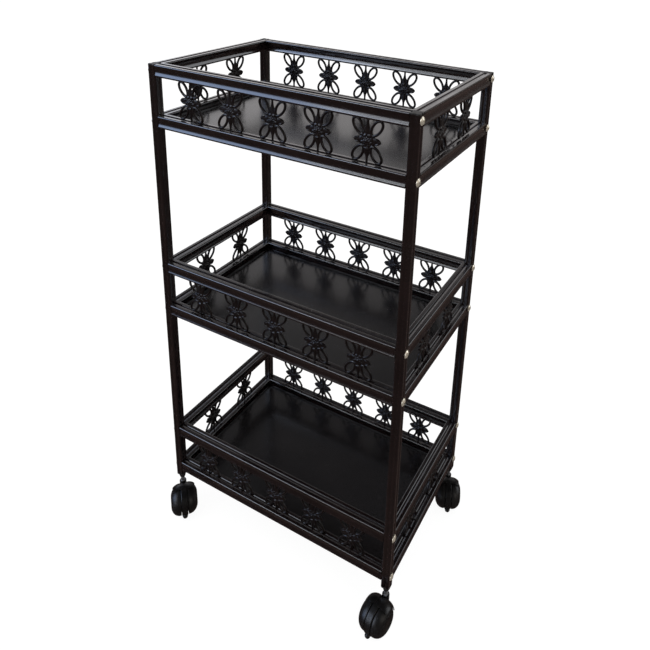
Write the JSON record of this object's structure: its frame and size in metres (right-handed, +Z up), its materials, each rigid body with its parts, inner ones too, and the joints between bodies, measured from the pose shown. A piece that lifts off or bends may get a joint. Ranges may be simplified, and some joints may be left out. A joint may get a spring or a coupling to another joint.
{
  "type": "rolling salon trolley",
  "caption": "Tall narrow rolling trolley with stacked fenced trays, flower ornaments between paired rails, slim grooved posts and hooded castors.",
  "frame": {"origin": "on the floor, under the middle of the footprint", "axes": "+Z up, +X along the long side towards the right-hand side frame, +Y from the front to the back"},
  "size_m": [0.4524, 0.3322, 0.76],
  "materials": {
    "frame_paint": "gloss black enamel with a slight brown cast",
    "tray_paint": "satin black enamel on sheet steel",
    "ornament_paint": "gloss black enamel on castings",
    "screw_metal": "bright nickel plate, slightly warm",
    "steel": "zinc-plated steel",
    "black_plastic": "black moulded plastic",
    "castor_housing": "semi-gloss black moulded plastic",
    "castor_wheel": "dull black nylon"
  },
  "bodies": {
    "frame": {"castor_sockets": "black_plastic", "castor_stems": "steel", "frame_screws": "screw_metal", "ornaments_bottom_long_sides": "ornament_paint", "ornaments_bottom_short_sides": "ornament_paint", "ornaments_middle_long_sides": "ornament_paint", "ornaments_middle_short_sides": "ornament_paint", "ornaments_top_long_sides": "ornament_paint", "ornaments_top_short_sides": "ornament_paint", "post_back_left": "frame_paint", "post_back_right": "frame_paint", "post_caps": "black_plastic", "post_front_left": "frame_paint", "post_front_right": "frame_paint", "rail_bottom_back_lower": "frame_paint", "rail_bottom_back_upper": "frame_paint", "rail_bottom_front_lower": "frame_paint", "rail_bottom_front_upper": "frame_paint", "rail_bottom_left_lower": "frame_paint", "rail_bottom_left_upper": "frame_paint", "rail_bottom_right_lower": "frame_paint", "rail_bottom_right_upper": "frame_paint", "rail_end_plugs": "black_plastic", "rail_middle_back_lower": "frame_paint", "rail_middle_back_upper": "frame_paint", "rail_middle_front_lower": "frame_paint", "rail_middle_front_upper": "frame_paint", "rail_middle_left_lower": "frame_paint", "rail_middle_left_upper": "frame_paint", "rail_middle_right_lower": "frame_paint", "rail_middle_right_upper": "frame_paint", "rail_top_back_lower": "frame_paint", "rail_top_back_upper": "frame_paint", "rail_top_front_lower": "frame_paint", "rail_top_front_upper": "frame_paint", "rail_top_left_lower": "frame_paint", "rail_top_left_upper": "frame_paint", "rail_top_right_lower": "frame_paint", "rail_top_right_upper": "frame_paint", "tray_bottom": "tray_paint", "tray_middle": "tray_paint", "tray_top": "tray_paint"},
    "castor_front_left_swivel": {"castor_front_left_housing": "castor_housing", "castor_front_left_axle": "steel"},
    "castor_front_left_wheel_left": {"castor_front_left_wheel_left": "castor_wheel"},
    "castor_front_left_wheel_right": {"castor_front_left_wheel_right": "castor_wheel"},
    "castor_front_right_swivel": {"castor_front_right_housing": "castor_housing", "castor_front_right_axle": "steel"},
    "castor_front_right_wheel_left": {"castor_front_right_wheel_left": "castor_wheel"},
    "castor_front_right_wheel_right": {"castor_front_right_wheel_right": "castor_wheel"},
    "castor_back_left_swivel": {"castor_back_left_housing": "castor_housing", "castor_back_left_axle": "steel"},
    "castor_back_left_wheel_left": {"castor_back_left_wheel_left": "castor_wheel"},
    "castor_back_left_wheel_right": {"castor_back_left_wheel_right": "castor_wheel"},
    "castor_back_right_swivel": {"castor_back_right_housing": "castor_housing", "castor_back_right_axle": "steel"},
    "castor_back_right_wheel_left": {"castor_back_right_wheel_left": "castor_wheel"},
    "castor_back_right_wheel_right": {"castor_back_right_wheel_right": "castor_wheel"}
  },
  "joints": [
    {"name": "castor_front_left_swivel", "type": "hinge", "parent": "frame", "child": "castor_front_left_swivel", "pos_m": [-0.1935, -0.1195, 0.041], "axis": [0, 0, 1], "continuous": true},
    {"name": "castor_front_left_roll_left", "type": "hinge", "parent": "castor_front_left_swivel", "child": "castor_front_left_wheel_left", "pos_m": [-0.17668, -0.13519, 0.023], "axis": [0.682, 0.7314, 0], "continuous": true},
    {"name": "castor_front_left_roll_right", "type": "hinge", "parent": "castor_front_left_swivel", "child": "castor_front_left_wheel_right", "pos_m": [-0.17668, -0.13519, 0.023], "axis": [0.682, 0.7314, 0], "continuous": true},
    {"name": "castor_front_right_swivel", "type": "hinge", "parent": "frame", "child": "castor_front_right_swivel", "pos_m": [0.1935, -0.1195, 0.041], "axis": [0, 0, 1], "continuous": true},
    {"name": "castor_front_right_roll_left", "type": "hinge", "parent": "castor_front_right_swivel", "child": "castor_front_right_wheel_left", "pos_m": [0.1907, -0.14233, 0.023], "axis": [0.9925, -0.1219, 0], "continuous": true},
    {"name": "castor_front_right_roll_right", "type": "hinge", "parent": "castor_front_right_swivel", "child": "castor_front_right_wheel_right", "pos_m": [0.1907, -0.14233, 0.023], "axis": [0.9925, -0.1219, 0], "continuous": true},
    {"name": "castor_back_left_swivel", "type": "hinge", "parent": "frame", "child": "castor_back_left_swivel", "pos_m": [-0.1935, 0.1195, 0.041], "axis": [0, 0, 1], "continuous": true},
    {"name": "castor_back_left_roll_left", "type": "hinge", "parent": "castor_back_left_swivel", "child": "castor_back_left_wheel_left", "pos_m": [-0.20249, 0.14067, 0.023], "axis": [-0.9205, -0.3907, 0], "continuous": true},
    {"name": "castor_back_left_roll_right", "type": "hinge", "parent": "castor_back_left_swivel", "child": "castor_back_left_wheel_right", "pos_m": [-0.20249, 0.14067, 0.023], "axis": [-0.9205, -0.3907, 0], "continuous": true},
    {"name": "castor_back_right_swivel", "type": "hinge", "parent": "frame", "child": "castor_back_right_swivel", "pos_m": [0.1935, 0.1195, 0.041], "axis": [0, 0, 1], "continuous": true},
    {"name": "castor_back_right_roll_left", "type": "hinge", "parent": "castor_back_right_swivel", "child": "castor_back_right_wheel_left", "pos_m": [0.20249, 0.09833, 0.023], "axis": [0.9205, 0.3907, 0], "continuous": true},
    {"name": "castor_back_right_roll_right", "type": "hinge", "parent": "castor_back_right_swivel", "child": "castor_back_right_wheel_right", "pos_m": [0.20249, 0.09833, 0.023], "axis": [0.9205, 0.3907, 0], "continuous": true}
  ]
}
